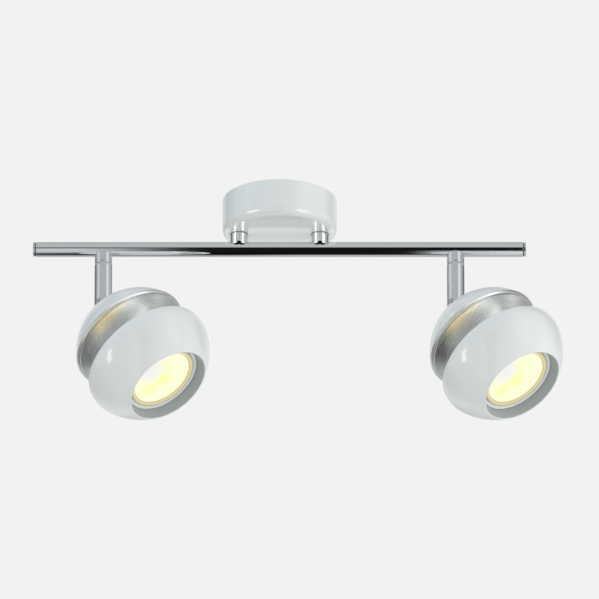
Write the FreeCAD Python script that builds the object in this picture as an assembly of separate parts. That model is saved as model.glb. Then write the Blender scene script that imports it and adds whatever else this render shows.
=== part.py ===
import FreeCAD, Part
import math
import os

# Two-spot bar light with pivoting heads, in millimetres.
# The origin is the centre of the canopy's mounting face, +Z points into the ceiling,
# +X runs along the bar to the right and -Y is the front.
# Each arm is drawn about its tilt pivot with +Z up its post, and each head about the
# same pivot with +Z along its beam, so that one pair of placements sets them at rest.

# Canopy and what it hides
canopy_diameter = 80.0
canopy_height = 25.0
canopy_wall = 1.2
canopy_edge_radius = 5.0
plate_thickness = 1.5
plate_width = 22.0
plate_cross_width = 26.0
plate_cross_length = 52.0
plate_wall_gap = 0.3
plate_tab_width = 14.0
plate_tab_drop = 13.0
fixing_spacing = 50.0
fixing_slot_length = 10.0
fixing_slot_width = 4.5
side_screw_drop = 8.0
side_screw_diameter = 4.0
side_screw_inset = 0.4
side_screw_length = 6.0
side_screw_socket_diameter = 2.0
side_screw_socket_depth = 2.0
cable_hole_diameter = 10.0
grommet_wall = 1.2
grommet_flange = 1.4
grommet_flange_thickness = 1.0
block_poles = 3
block_pole_pitch = 8.0
block_depth = 13.0
block_height = 11.0
block_bore_diameter = 3.2
block_screw_diameter = 3.0
block_screw_spacing = 6.5
block_screw_sunk = 0.5
block_screw_slot_width = 0.8
block_screw_slot_depth = 0.7
block_offset = 9.5
earth_screw_diameter = 4.0
earth_screw_head_diameter = 8.0
earth_screw_head_height = 2.0
earth_screw_slot_width = 1.0
earth_screw_slot_depth = 1.0
earth_screw_offset = 18.0

# Studs between canopy and bar
stud_diameter = 12.5
stud_thread_diameter = 8.0
stud_bore_diameter = 5.2
stud_nut_across_flats = 13.0
stud_nut_thickness = 4.0
stud_washer_thickness = 0.8
stud_washer_diameter = 13.4
stud_thread_spare = 1.0
stud_saddle_height = 2.6
stud_notch_radius = 1.5
stud_notch_depth = 2.0

# Bar
bar_below_canopy = 11.1
bar_length = 345.0
bar_diameter = 10.5
bar_wall = 1.0
cap_thickness = 1.8
cap_crown = 0.5
cap_groove = 0.4
cap_groove_depth = 0.45
cap_plug_length = 8.0

# Posts and their swivels
post_spacing = 246.0
pivot_below_bar = 42.1
collar_diameter = 12.2
collar_top_below_bar = 3.8
collar_bottom_below_bar = 11.5
collar_notch_radius = 2.1
collar_notch_height = 1.2
collar_notch_depth = 1.0
friction_washer_diameter = 11.4
friction_washer_thickness = 1.3
post_diameter = 12.5
post_wall = 1.0
bush_length = 7.2
bolt_thread_diameter = 6.0
bolt_bore_diameter = 4.4
bolt_head_side_gap = 0.75
bolt_head_height = 2.5
bolt_slot_width = 1.2
bolt_slot_depth = 0.8
spring_washer_side_gap = 0.35
spring_washer_thickness = 1.2
swivel_travel = 160.0
stop_circle_inset = 0.9
stop_pin_angle = 90.0
stop_pin_diameter = 1.0
stop_pin_upper_length = 1.4
stop_groove_depth = 1.5

# Tilt hinge
yaw_at_rest = -29.1
depression_at_rest = 54.1
hinge_pole_gap = 0.4
hinge_screw_diameter = 3.0
hinge_screw_head_diameter = 4.8
hinge_screw_head_height = 1.6
hinge_screw_socket_diameter = 1.8
hinge_screw_socket_depth = 0.8
hinge_screw_end_inset = 1.05
tab_thickness = 3.0
tab_width = 6.4
knuckle_skirt = 4.2
knuckle_to_bolt_gap = 4.0
lug_foot_diameter = 19.0
lug_foot_thickness = 2.0
rivet_diameter = 2.4
rivet_head_diameter = 4.0
rivet_head_height = 0.8
rivet_offset = 6.4
lead_hole_offset = 6.8
lead_hole_diameter = 4.6

# Rear dome and aluminium waist; heights are measured forward from the dome's rim
dome_rim_diameter = 83.6
dome_depth = 28.5
dome_wall = 1.2
dome_seat_depth = 4.0
dome_seat_wall = 3.0
waist_lip_width = 1.2
waist_lip_inset = 0.9
waist_neck_diameter = 54.0
waist_neck_start = 11.6
waist_neck_end = 15.0
waist_neck_round = 0.9
waist_wall = 2.4
waist_flange_land = 3.0
waist_flange_front = 2.0
waist_land_length = 3.6
waist_land_show = 0.8

# Front shell, sleeve and ring
shell_back = 22.7
shell_widest = 26.5
shell_diameter = 92.2
shell_shoulder_radius = 19.3
shell_face_radius = 52.4
shell_join_angle = 21.4
shell_wall = 1.5
shell_seat_wall = 1.7
shell_lip_width = 0.6
sleeve_wall = 0.6
sleeve_inset = 0.5
sleeve_ledge_width = 0.6
sleeve_ledge_proud = 0.9
sleeve_taper = 1.3
sleeve_tail_length = 6.4
sleeve_flange_width = 1.9
sleeve_flange_thickness = 0.8
ring_proud = 0.3
ring_depth = 2.4
ring_width = 1.5
ring_edge_radius = 0.5

# Lamp and lamp holder
lamp_length = 46.5
lamp_diameter = 49.8
lamp_side_gap = 0.5
lamp_glass_thickness = 2.5
lamp_glass_edge = 0.7
lamp_rim_depth = 4.0
lamp_wall = 1.8
lamp_base_diameter = 25.2
lamp_base_length = 12.5
lamp_waist_height = 24.5
lamp_waist_diameter = 34.0
lamp_base_floor = 3.0
pin_pitch = 10.0
pin_diameter = 2.5
pin_length = 6.6
pin_head_diameter = 4.9
pin_head_height = 3.0
twist_travel = 40.0
holder_gap = 0.7
holder_boss_diameter = 26.0
holder_boss_height = 4.2
holder_body_diameter = 28.0
holder_web = 2.5
holder_length = 16.0
holder_cavity_depth = 5.5
holder_ear_length = 42.0
holder_ear_width = 12.0
holder_ear_thickness = 6.0
bracket_thickness = 1.2
bracket_width = 34.0
bracket_screw_inset = 5.8
holder_screw_offset = 17.0
small_screw_diameter = 2.9
small_screw_head_diameter = 5.4
small_screw_head_height = 2.0
small_screw_drive_size = 2.0
small_screw_drive_depth = 1.0
small_screw_length = 5.0

# Leads
lead_diameter = 1.9
lead_spacing = 2.1
lead_bend_radius = 4.0
lead_drop = 8.0
lead_level_step = 3.0

# Fits, and how far a cutting shape runs past the face that it opens
seat_gap = 0.05
slip_gap = 0.1
side_gap = 0.25
run_gap = 0.05
free_gap = 0.3
cut_over = 1.0

# Sizes that follow from the ones above
canopy_radius = canopy_diameter / 2
canopy_floor = -canopy_height + canopy_wall
stud_spacing = canopy_diameter - 2 * canopy_edge_radius - stud_washer_diameter - 2 * seat_gap
bar_radius = bar_diameter / 2
bar_z = -(canopy_height + bar_below_canopy)
bar_bore_radius = bar_radius - bar_wall
cap_reach = cap_thickness + cap_groove
post_radius = post_diameter / 2
post_bore_radius = post_radius - post_wall
pivot_z = bar_z - pivot_below_bar
collar_bottom = pivot_below_bar - collar_bottom_below_bar
collar_top = pivot_below_bar - collar_top_below_bar
post_top = collar_bottom - friction_washer_thickness - slip_gap
bush_bottom = post_top - bush_length
bolt_head_top = bush_bottom - slip_gap - spring_washer_thickness
bolt_head_low = bolt_head_top - bolt_head_height
bolt_top = pivot_below_bar - bar_radius - free_gap
knuckle_top = bolt_head_low - knuckle_to_bolt_gap
bolt_thread_radius = bolt_thread_diameter / 2
bolt_head_radius = post_bore_radius - bolt_head_side_gap
spring_washer_radius = post_bore_radius - spring_washer_side_gap
plug_radius = post_bore_radius - seat_gap
stop_circle_radius = plug_radius - stop_circle_inset
hinge_screw_end = post_radius - hinge_screw_end_inset
pole_height = post_radius + hinge_pole_gap
rim_height = pole_height + dome_depth
rim_radius = dome_rim_diameter / 2
dome_radius = (rim_radius**2 + dome_depth**2) / (2 * dome_depth)
dome_centre = pole_height + dome_radius
dome_seat_radius = rim_radius - dome_seat_wall
bracket_screw_offset = dome_seat_radius - bracket_screw_inset
tab_hole_radius = hinge_screw_diameter / 2 + run_gap
slot_width = tab_thickness + 2 * side_gap
slot_reach = tab_width / 2 + free_gap
bracket_back = rim_height - dome_seat_depth - bracket_thickness
holder_shoulder = bracket_back
holder_front = holder_shoulder + holder_boss_height
lamp_base = holder_front + holder_gap
lamp_front = lamp_base + lamp_length
shell_radius = shell_diameter / 2
shoulder_reach = math.sqrt(shell_shoulder_radius**2 - (shell_widest - shell_back)**2)
shell_back_radius = shell_radius - shell_shoulder_radius + shoulder_reach
shell_seat_radius = shell_back_radius - shell_seat_wall
ring_bore_radius = lamp_diameter / 2 + lamp_side_gap
ring_front = lamp_front + ring_proud
sleeve_bore_radius = ring_bore_radius + ring_width + slip_gap
sleeve_ledge_radius = sleeve_bore_radius + sleeve_ledge_width
sleeve_radius = sleeve_ledge_radius + sleeve_taper + sleeve_wall
mouth_radius = sleeve_radius + slip_gap
stop_pin_x = stop_circle_radius * math.cos(math.radians(stop_pin_angle))
stop_pin_y = stop_circle_radius * math.sin(math.radians(stop_pin_angle))

UP = FreeCAD.Vector(0, 0, 1)
RIGHT = FreeCAD.Vector(1, 0, 0)
BACK = FreeCAD.Vector(0, 1, 0)
SIDES = {"left": -1, "right": 1}


# Shape helpers

def point(x, y, z):
    return FreeCAD.Vector(x, y, z)


def rod(radius, start, end, x=0.0, y=0.0):
    """Upright round bar from height start to height end."""
    low = min(start, end)
    return Part.makeCylinder(radius, abs(end - start), point(x, y, low), UP)


def cross_rod(radius, start, direction, length):
    """Round bar that leaves the point start along a direction."""
    return Part.makeCylinder(radius, length, start, direction)


def ring(outer_radius, inner_radius, start, end, x=0.0, y=0.0):
    """Upright plain ring."""
    return rod(outer_radius, start, end, x, y).cut(rod(inner_radius, start, end, x, y))


def block(x_size, y_size, low, high, x=0.0, y=0.0):
    """Box centred on x and y, between two heights."""
    return Part.makeBox(x_size, y_size, high - low, point(x - x_size / 2, y - y_size / 2, low))


def hexagon(across_flats, start, end, x=0.0, y=0.0):
    """Upright hexagonal prism."""
    corner = across_flats / math.sqrt(3)
    angles = [math.radians(60 * i) for i in range(7)]
    corners = [point(x + corner * math.cos(a), y + corner * math.sin(a), start) for a in angles]
    return Part.Face(Part.makePolygon(corners)).extrude(point(0, 0, end - start))


def turned(*outline):
    """Solid turned about Z. An item of the outline is a (height, radius) corner that a
    straight line leads to, or a (through, end) pair of corners for an arc."""
    def place(corner):
        return point(corner[1], 0, corner[0])
    edges = []
    here = outline[0]
    for item in outline[1:] + (outline[0],):
        is_arc = isinstance(item[0], tuple)
        end = item[1] if is_arc else item
        if is_arc:
            edges.append(Part.Arc(place(here), place(item[0]), place(end)).toShape())
        elif place(here).distanceToPoint(place(end)) > 1e-6:
            edges.append(Part.LineSegment(place(here), place(end)).toShape())
        here = end
    return Part.Face(Part.Wire(edges)).revolve(point(0, 0, 0), UP, 360)


def on_circle(centre, radius, degrees):
    """Corner (height, radius) on a circle in the turning plane, measured from the radial line."""
    angle = math.radians(degrees)
    return (centre[0] + radius * math.sin(angle), centre[1] + radius * math.cos(angle))


def arc_between(centre, radius, start, end):
    """The (through, end) pair of an arc about a centre, from start to end in degrees."""
    return (on_circle(centre, radius, (start + end) / 2), on_circle(centre, radius, end))


def arc_sector(outer_radius, inner_radius, low, high, start, sweep):
    """Part of an upright ring that covers sweep degrees from the angle start."""
    corners = [(inner_radius, low), (outer_radius, low), (outer_radius, high), (inner_radius, high)]
    outline = [point(r, 0, z) for r, z in corners + corners[:1]]
    sector = Part.Face(Part.makePolygon(outline)).revolve(point(0, 0, 0), UP, sweep)
    return sector.rotated(point(0, 0, 0), UP, start)


def dome_height(radius, wall=0.0):
    """Height of the dome's outer skin, or of a skin that lies wall inside it, at a radius."""
    return dome_centre - math.sqrt((dome_radius - wall)**2 - radius**2)


def bent_wire(points, radius, bend):
    """Round wire along straight runs that are joined by tangent arcs of radius bend."""
    edges = []
    here = points[0]
    for before, corner, after in zip(points, points[1:], points[2:]):
        into = (corner - before).normalize()
        out = (after - corner).normalize()
        turn = into.getAngle(out)
        cut = bend * math.tan(turn / 2)
        start = corner - into * cut
        end = corner + out * cut
        middle = corner + (out - into).normalize() * (bend / math.cos(turn / 2) - bend)
        edges.append(Part.LineSegment(here, start).toShape())
        edges.append(Part.Arc(start, middle, end).toShape())
        here = end
    edges.append(Part.LineSegment(here, points[-1]).toShape())
    first = (points[1] - points[0]).normalize()
    profile = Part.Wire(Part.makeCircle(radius, points[0], first))
    return Part.Wire(edges).makePipeShell([profile], True, False)


def pan_screw(x, seat, forward, length):
    """Small pan-head screw at (x, 0) whose head lies on the height seat; forward is +1 or -1."""
    head_end = seat - forward * small_screw_head_height
    head = rod(small_screw_head_diameter / 2, seat, head_end, x)
    drive_end = head_end + forward * small_screw_drive_depth
    drive = hexagon(small_screw_drive_size, min(head_end, drive_end), max(head_end, drive_end), x)
    shank = rod(small_screw_diameter / 2, seat, seat + forward * length, x)
    return head.cut(drive).fuse(shank).removeSplitter()


# Fixed part: canopy, studs and bar

def make_canopy():
    bottom = -canopy_height
    edge = canopy_edge_radius
    inner_edge = edge - canopy_wall
    corner = (bottom + edge, canopy_radius - edge)
    inside = canopy_radius - canopy_wall
    cup = turned(
        (0, canopy_radius), (bottom + edge, canopy_radius),
        arc_between(corner, edge, 0, -90),
        (bottom, 0), (canopy_floor, 0), on_circle(corner, inner_edge, -90),
        arc_between(corner, inner_edge, -90, 0), (0, inside))
    for side in SIDES.values():
        x = side * stud_spacing / 2
        cup = cup.cut(rod(stud_thread_diameter / 2 + slip_gap, bottom, canopy_floor, x))
        start = point(side * (inside - edge), 0, -side_screw_drop)
        hole = cross_rod(side_screw_diameter / 2 + slip_gap, start, RIGHT * side, 2 * edge)
        cup = cup.cut(hole)
    return cup


def tab_reach():
    """Outer face of the plate's end tabs, set so that their corners clear the canopy's wall."""
    inside = canopy_radius - canopy_wall - plate_wall_gap
    return math.sqrt(inside**2 - (plate_tab_width / 2)**2)


def make_mounting_plate():
    reach = tab_reach()
    plate = block(2 * reach, plate_width, -plate_thickness, 0)
    plate = plate.common(rod(canopy_radius - canopy_wall - plate_wall_gap, -plate_thickness, 0))
    plate = plate.fuse(block(plate_cross_width, plate_cross_length, -plate_thickness, 0))
    hole_radius = cable_hole_diameter / 2 + grommet_wall + seat_gap
    plate = plate.cut(rod(hole_radius, -plate_thickness, 0))
    plate = plate.cut(rod(earth_screw_diameter / 2 + seat_gap, -plate_thickness, 0, 0, -earth_screw_offset))
    straight = fixing_slot_length - fixing_slot_width
    for side in SIDES.values():
        x = side * fixing_spacing / 2
        slot = block(straight, fixing_slot_width, -plate_thickness, 0, x)
        for end in (-1, 1):
            slot = slot.fuse(rod(fixing_slot_width / 2, -plate_thickness, 0, x + end * straight / 2))
        plate = plate.cut(slot)
        tab_x = side * (reach - plate_thickness / 2)
        tab = block(plate_thickness, plate_tab_width, -plate_tab_drop, 0, tab_x)
        start = point(side * (reach - 2 * plate_thickness), 0, -side_screw_drop)
        thread = cross_rod(side_screw_diameter / 2 + seat_gap, start, RIGHT * side, 3 * plate_thickness)
        plate = plate.fuse(tab).cut(thread)
    return plate.removeSplitter()


def make_side_screws():
    screws = []
    radius = side_screw_diameter / 2
    for side in SIDES.values():
        tip = point(side * (canopy_radius - side_screw_inset - side_screw_length), 0, -side_screw_drop)
        screw = cross_rod(radius, tip, RIGHT * side, side_screw_length)
        depth = side_screw_socket_depth
        socket_start = tip + RIGHT * side * (side_screw_length - depth)
        socket = cross_rod(side_screw_socket_diameter / 2, socket_start, RIGHT * side, depth)
        screws.append(screw.cut(socket))
    return Part.makeCompound(screws)


def make_grommet():
    bore = cable_hole_diameter / 2
    neck = bore + grommet_wall
    low = -plate_thickness - grommet_flange_thickness
    return turned((0, bore), (0, neck), (-plate_thickness, neck),
                  (-plate_thickness, neck + grommet_flange), (low, neck + grommet_flange), (low, bore))


def block_centre():
    return block_offset + block_depth / 2


def pole_places():
    """X of each pole of the terminal block."""
    first = -(block_poles - 1) / 2 * block_pole_pitch
    return [first + i * block_pole_pitch for i in range(block_poles)]


def block_screw_places():
    """The two screws of each pole, one for the wire on each side."""
    across = block_screw_spacing / 2
    return [(x, block_centre() + end * across) for x in pole_places() for end in (-1, 1)]


def make_terminal_block():
    low = -plate_thickness - block_height
    y = block_centre()
    body = block(block_poles * block_pole_pitch, block_depth, low, -plate_thickness, 0, y)
    for x in pole_places():
        wire_way = point(x, block_offset, -lead_drop)
        body = body.cut(cross_rod(block_bore_diameter / 2, wire_way, BACK, block_depth))
    for x, y_screw in block_screw_places():
        body = body.cut(rod(block_screw_diameter / 2 + seat_gap, low, -lead_drop, x, y_screw))
    return body


def make_terminal_screws():
    low = -plate_thickness - block_height + block_screw_sunk
    screws = []
    for x, y in block_screw_places():
        screw = rod(block_screw_diameter / 2, low, -lead_drop, x, y)
        slot = block(block_screw_diameter, block_screw_slot_width, low, low + block_screw_slot_depth, x, y)
        screws.append(screw.cut(slot))
    return Part.makeCompound(screws)


def make_earth_screw():
    y = -earth_screw_offset
    seat = -plate_thickness
    low = seat - earth_screw_head_height
    head = rod(earth_screw_head_diameter / 2, low, seat, 0, y)
    slot_end = low + earth_screw_slot_depth
    slot = block(earth_screw_head_diameter, earth_screw_slot_width, low, slot_end, 0, y)
    return head.cut(slot).fuse(rod(earth_screw_diameter / 2, seat, 0, 0, y)).removeSplitter()


def make_stud(side):
    x = side * stud_spacing / 2
    low = bar_z + stud_saddle_height
    thread_end = canopy_floor + stud_washer_thickness + stud_nut_thickness + stud_thread_spare
    stud = rod(stud_diameter / 2, low, -canopy_height, x)
    stud = stud.fuse(rod(stud_thread_diameter / 2, -canopy_height, thread_end, x))
    stud = stud.cut(rod(stud_bore_diameter / 2, bar_z, thread_end, x))
    saddle = cross_rod(bar_radius + seat_gap, point(x - stud_diameter, 0, bar_z), RIGHT, 2 * stud_diameter)
    notch_start = point(x, -stud_diameter / 2 - cut_over, low)
    notch = cross_rod(stud_notch_radius, notch_start, BACK, stud_notch_depth + cut_over)
    return stud.cut(saddle).cut(notch).removeSplitter()


def make_stud_washers():
    top = canopy_floor + stud_washer_thickness
    inner = stud_thread_diameter / 2 + slip_gap
    return Part.makeCompound([
        ring(stud_washer_diameter / 2, inner, canopy_floor, top, side * stud_spacing / 2)
        for side in SIDES.values()])


def make_stud_nuts():
    low = canopy_floor + stud_washer_thickness
    high = low + stud_nut_thickness
    nuts = []
    for side in SIDES.values():
        x = side * stud_spacing / 2
        nut = hexagon(stud_nut_across_flats, low, high, x)
        nuts.append(nut.cut(rod(stud_thread_diameter / 2 + seat_gap, low, high, x)))
    return Part.makeCompound(nuts)


def make_bar_tube():
    length = bar_length - 2 * cap_reach
    start = point(-length / 2, 0, bar_z)
    tube = cross_rod(bar_radius, start, RIGHT, length).cut(cross_rod(bar_bore_radius, start, RIGHT, length))
    for side in SIDES.values():
        tube = tube.cut(rod(stud_bore_diameter / 2, bar_z, bar_z + bar_diameter, side * stud_spacing / 2))
        tube = tube.cut(rod(bolt_bore_diameter / 2, bar_z - bar_diameter, bar_z, side * post_spacing / 2))
    return tube


def make_end_cap(side):
    neck = bar_radius - cap_groove_depth
    disc_start = cap_groove
    face = cap_reach - cap_crown
    plug = bar_bore_radius - seat_gap
    crown_radius = (bar_radius**2 + cap_crown**2) / (2 * cap_crown)
    crown_centre = (cap_reach - crown_radius, 0)
    edge = math.degrees(math.acos(bar_radius / crown_radius))
    cap = turned(
        (-cap_plug_length, 0), (-cap_plug_length, plug), (0, plug), (0, neck), (disc_start, neck),
        (disc_start, bar_radius), (face, bar_radius),
        arc_between(crown_centre, crown_radius, edge, 90))
    cap.rotate(point(0, 0, 0), BACK, 90 * side)
    cap.translate(point(side * (bar_length / 2 - cap_reach), 0, bar_z))
    return cap


def make_supply_leads():
    """Two leads for each arm, from the terminal block through a stud and the bar to the swivel."""
    leads = []
    end_z = pivot_z + bolt_head_low
    for side in SIDES.values():
        for index, y in enumerate((-lead_spacing / 2, lead_spacing / 2)):
            pole_x = side * (block_pole_pitch if index == 0 else lead_diameter)
            level = -lead_drop - index * lead_level_step
            route = [
                point(pole_x, block_offset - seat_gap, level),
                point(pole_x, y, level),
                point(side * stud_spacing / 2, y, level),
                point(side * stud_spacing / 2, y, bar_z),
                point(side * post_spacing / 2, y, bar_z),
                point(side * post_spacing / 2, y, end_z)]
            leads.append(bent_wire(route, lead_diameter / 2, lead_bend_radius))
    return Part.makeCompound(leads)


# Fixed part: what each post hangs from, drawn about the tilt pivot

def make_collar():
    collar = rod(collar_diameter / 2, collar_bottom, collar_top)
    collar = collar.cut(rod(bolt_thread_radius + seat_gap, collar_bottom, collar_top))
    start = point(-collar_diameter, 0, pivot_below_bar)
    collar = collar.cut(cross_rod(bar_radius + seat_gap, start, RIGHT, 2 * collar_diameter))
    notch_z = collar_bottom - collar_notch_radius + collar_notch_height
    notch_start = point(0, -collar_diameter / 2 - cut_over, notch_z)
    collar = collar.cut(cross_rod(collar_notch_radius, notch_start, BACK, collar_notch_depth + cut_over))
    pin_hole_radius = stop_pin_diameter / 2 + seat_gap
    pin_hole_top = collar_bottom + stop_pin_upper_length + slip_gap
    return collar.cut(rod(pin_hole_radius, collar_bottom, pin_hole_top, stop_pin_x, stop_pin_y))


def make_friction_washer():
    low = collar_bottom - friction_washer_thickness
    washer = ring(friction_washer_diameter / 2, bolt_thread_radius + slip_gap, low, collar_bottom)
    pin_hole = rod(stop_pin_diameter / 2 + seat_gap, low, collar_bottom, stop_pin_x, stop_pin_y)
    return washer.cut(pin_hole)


def make_swivel_bolt():
    bolt = rod(bolt_head_radius, bolt_head_low, bolt_head_top)
    bolt = bolt.fuse(rod(bolt_thread_radius, bolt_head_top, bolt_top))
    bolt = bolt.cut(rod(bolt_bore_diameter / 2, bolt_head_low, bolt_top))
    slot = block(2 * bolt_head_radius, bolt_slot_width, bolt_head_low, bolt_head_low + bolt_slot_depth)
    return bolt.cut(slot).removeSplitter()


def make_spring_washer():
    top = bolt_head_top + spring_washer_thickness
    return ring(spring_washer_radius, bolt_thread_radius + slip_gap, bolt_head_top, top)


def make_stop_pin():
    low = post_top - stop_groove_depth + free_gap
    return rod(stop_pin_diameter / 2, low, collar_bottom + stop_pin_upper_length, stop_pin_x, stop_pin_y)


# Arm, drawn about the tilt pivot

def make_top_bush():
    bush = ring(plug_radius, bolt_thread_radius + run_gap, bush_bottom, post_top)
    half_width = stop_pin_diameter / 2 + free_gap
    margin = 2 * math.degrees(math.asin(half_width / stop_circle_radius))
    sweep = 2 * swivel_travel + margin
    start = stop_pin_angle - yaw_at_rest - sweep / 2
    low = post_top - stop_groove_depth
    groove = arc_sector(stop_circle_radius + half_width, stop_circle_radius - half_width,
                        low, post_top, start, sweep)
    return bush.cut(groove)


def make_post_tube():
    return ring(post_radius, post_bore_radius, knuckle_skirt, post_top)


def make_knuckle():
    """Ball end with a slot for the lug's tab, open below and in front, and a shank in the post."""
    knuckle = Part.makeSphere(post_radius).fuse(rod(post_radius, 0, knuckle_skirt))
    knuckle = knuckle.fuse(rod(plug_radius, knuckle_skirt, knuckle_top))
    reach = 2 * post_radius
    slot = Part.makeBox(slot_reach + reach, slot_width, slot_reach + reach,
                        point(-slot_reach, -slot_width / 2, -reach))
    knuckle = knuckle.cut(slot)
    knuckle = knuckle.cut(rod(bolt_bore_diameter / 2, 0, knuckle_top))
    thread = hinge_screw_diameter / 2
    knuckle = knuckle.cut(cross_rod(thread + seat_gap, point(0, -reach, 0), BACK, reach + hinge_screw_end))
    seat = point(0, -hinge_head_seat(), 0)
    recess = cross_rod(hinge_screw_head_diameter / 2 + slip_gap, seat, -BACK, reach)
    return knuckle.cut(recess).removeSplitter()


def hinge_head_seat():
    """Distance from the pivot to the seat that keeps the screw's head inside the ball."""
    ball_at_head = math.sqrt(post_radius**2 - (hinge_screw_head_diameter / 2)**2)
    return ball_at_head - slip_gap - hinge_screw_head_height


def make_hinge_screw():
    seat = -hinge_head_seat()
    radius = hinge_screw_diameter / 2
    head = cross_rod(hinge_screw_head_diameter / 2, point(0, seat, 0), -BACK, hinge_screw_head_height)
    socket_start = point(0, seat - hinge_screw_head_height, 0)
    socket = cross_rod(hinge_screw_socket_diameter / 2, socket_start, BACK, hinge_screw_socket_depth)
    head = head.cut(socket)
    shank = cross_rod(radius, point(0, seat, 0), BACK, hinge_screw_end - seat - slip_gap)
    return head.fuse(shank).removeSplitter()


# Head, drawn about the tilt pivot with +Z along the beam

def foot_back():
    """Height of the lug foot's back face, where its corner meets the dome's inner skin."""
    return dome_height(lug_foot_diameter / 2, dome_wall) + seat_gap


def lead_hole(low, high):
    return rod(lead_hole_diameter / 2, low, high, -lead_hole_offset)


def rivet_holes(low, high):
    radius = rivet_diameter / 2 + seat_gap
    holes = [rod(radius, low, high, 0, side * rivet_offset) for side in SIDES.values()]
    return holes[0].fuse(holes[1])


def make_hinge_lug():
    back = foot_back()
    front = back + lug_foot_thickness
    foot = rod(lug_foot_diameter / 2, back, front)
    foot = foot.cut(lead_hole(back, front)).cut(rivet_holes(back, front))
    tab = block(tab_width, tab_thickness, 0, back)
    tab = tab.fuse(cross_rod(tab_width / 2, point(0, -tab_thickness / 2, 0), BACK, tab_thickness))
    hole = cross_rod(tab_hole_radius, point(0, -tab_thickness, 0), BACK, 2 * tab_thickness)
    return foot.fuse(tab).cut(hole).removeSplitter()


def make_lug_rivets():
    front = foot_back() + lug_foot_thickness
    head_radius = rivet_head_diameter / 2
    seat = dome_height(rivet_offset - head_radius) - seat_gap
    rivets = []
    for side in SIDES.values():
        y = side * rivet_offset
        rivet = rod(rivet_diameter / 2, seat, front, 0, y)
        rivet = rivet.fuse(rod(head_radius, seat - rivet_head_height, seat, 0, y))
        rivet = rivet.fuse(rod(head_radius, front, front + rivet_head_height, 0, y))
        rivets.append(rivet.removeSplitter())
    return Part.makeCompound(rivets)


def make_rear_dome():
    centre = (dome_centre, 0)
    inner = dome_radius - dome_wall
    rim_angle = -math.degrees(math.acos(rim_radius / dome_radius))
    seat_back = rim_height - dome_seat_depth
    inner_at_seat = math.sqrt(inner**2 - (dome_centre - seat_back)**2)
    inner_angle = -math.degrees(math.acos(inner_at_seat / inner))
    dome = turned(
        (rim_height, dome_seat_radius), (rim_height, rim_radius),
        arc_between(centre, dome_radius, rim_angle, -90),
        (dome_centre - inner, 0),
        arc_between(centre, inner, -90, inner_angle),
        (seat_back, dome_seat_radius))
    top = rim_height - dome_seat_depth
    slot = block(tab_width + 2 * slip_gap, tab_thickness + 2 * slip_gap, 0, top)
    return dome.cut(slot).cut(lead_hole(0, top)).cut(rivet_holes(0, top))


def make_waist():
    """Spool of two cones with a narrow neck; its back seats in the dome, its front in the shell."""
    base = rim_height
    seat = dome_seat_radius - slip_gap
    back = base - dome_seat_depth
    lip_back = base + slip_gap
    lip_front = lip_back + waist_lip_width
    lip_side = rim_radius - waist_lip_width / 2
    neck = waist_neck_diameter / 2
    neck_edge = neck + waist_neck_round
    neck_middle = base + (waist_neck_start + waist_neck_end) / 2
    land = shell_seat_radius - slip_gap
    land_back = base + shell_back - waist_land_show
    land_front = land_back + waist_land_length
    inner_neck = neck - waist_wall
    inner_land = land - waist_wall
    flange = bracket_screw_offset - waist_flange_land
    spool = turned(
        (back, flange), (back, seat), (lip_back, seat), (lip_back, lip_side),
        (((lip_back + lip_front) / 2, rim_radius), (lip_front, lip_side)),
        (lip_front, lip_side - waist_lip_inset),
        (base + waist_neck_start, neck_edge),
        ((neck_middle, neck), (base + waist_neck_end, neck_edge)),
        (land_back, land), (land_front, land), (land_front, inner_land),
        (base + waist_neck_end + waist_wall, inner_neck),
        (base + waist_neck_start - waist_wall, inner_neck),
        (base + waist_flange_front, flange))
    for side in SIDES.values():
        x = side * bracket_screw_offset
        depth = small_screw_length - bracket_thickness + free_gap
        spool = spool.cut(rod(small_screw_diameter / 2 + seat_gap, back, back + depth, x))
    return spool


def make_bracket():
    low = bracket_back
    high = low + bracket_thickness
    inner = dome_radius - dome_wall
    reach = math.sqrt(inner**2 - (dome_centre - low)**2) - free_gap
    plate = rod(reach, low, high).common(block(3 * reach, bracket_width, low, high))
    plate = plate.cut(rod(holder_boss_diameter / 2 + slip_gap, low, high))
    for side in SIDES.values():
        for x in (side * bracket_screw_offset, side * holder_screw_offset):
            plate = plate.cut(rod(small_screw_diameter / 2 + seat_gap, low, high, x))
    return plate


def make_bracket_screws():
    """Screws that hold the bracket to the waist from behind."""
    return Part.makeCompound([
        pan_screw(side * bracket_screw_offset, bracket_back, 1, small_screw_length)
        for side in SIDES.values()])


def make_holder_screws():
    """Screws that hold the lamp holder to the bracket from in front."""
    return Part.makeCompound([
        pan_screw(side * holder_screw_offset, bracket_back + bracket_thickness, -1, small_screw_length)
        for side in SIDES.values()])


def make_lamp_holder():
    body = rod(holder_boss_diameter / 2, holder_shoulder, holder_front)
    back = holder_front - holder_length
    body = body.fuse(rod(holder_body_diameter / 2, back, holder_shoulder))
    ear_low = holder_shoulder - holder_ear_thickness
    body = body.fuse(block(holder_ear_length, holder_ear_width, ear_low, holder_shoulder))
    orbit = pin_pitch / 2
    head = pin_head_diameter / 2 + free_gap
    web_back = holder_front - holder_web
    body = body.cut(ring(orbit + head, orbit - head, web_back - holder_cavity_depth, web_back))
    shaft = pin_diameter / 2 + free_gap
    for side in SIDES.values():
        turn = 0 if side > 0 else 180
        slot = arc_sector(orbit + shaft, orbit - shaft, web_back, holder_front, turn, twist_travel)
        slot = slot.fuse(rod(shaft, web_back, holder_front, side * orbit))
        angle = math.radians(turn + twist_travel)
        entry = rod(head, web_back, holder_front, orbit * math.cos(angle), orbit * math.sin(angle))
        body = body.cut(slot.fuse(entry))
        depth = small_screw_length - bracket_thickness + free_gap
        hole_low = holder_shoulder - depth
        body = body.cut(rod(small_screw_diameter / 2 + seat_gap, hole_low, holder_shoulder,
                            side * holder_screw_offset))
    return body.removeSplitter()


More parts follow.
